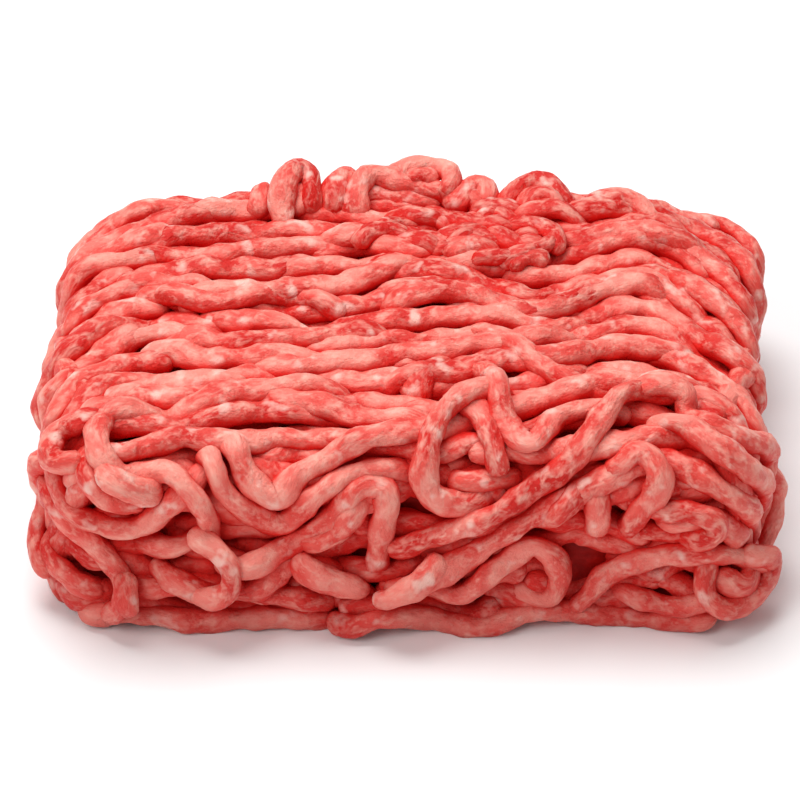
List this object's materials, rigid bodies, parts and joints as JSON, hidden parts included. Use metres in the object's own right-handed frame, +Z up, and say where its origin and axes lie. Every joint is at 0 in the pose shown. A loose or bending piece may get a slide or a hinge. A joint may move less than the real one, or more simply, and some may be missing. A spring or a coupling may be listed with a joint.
{
  "type": "block of raw minced meat",
  "caption": "Low rounded block of raw minced meat: long soft strands run over the top and hang in loops down the front.",
  "frame": {"origin": "on the floor, under the middle of the block's outline", "axes": "+X to the right along the long side, -Y towards the front with the hanging loops, +Z up"},
  "size_m": [0.1522, 0.1128, 0.0487],
  "materials": {
    "raw_mince": null
  },
  "bodies": {
    "root": {"mince_block": "raw_mince"}
  },
  "joints": []
}
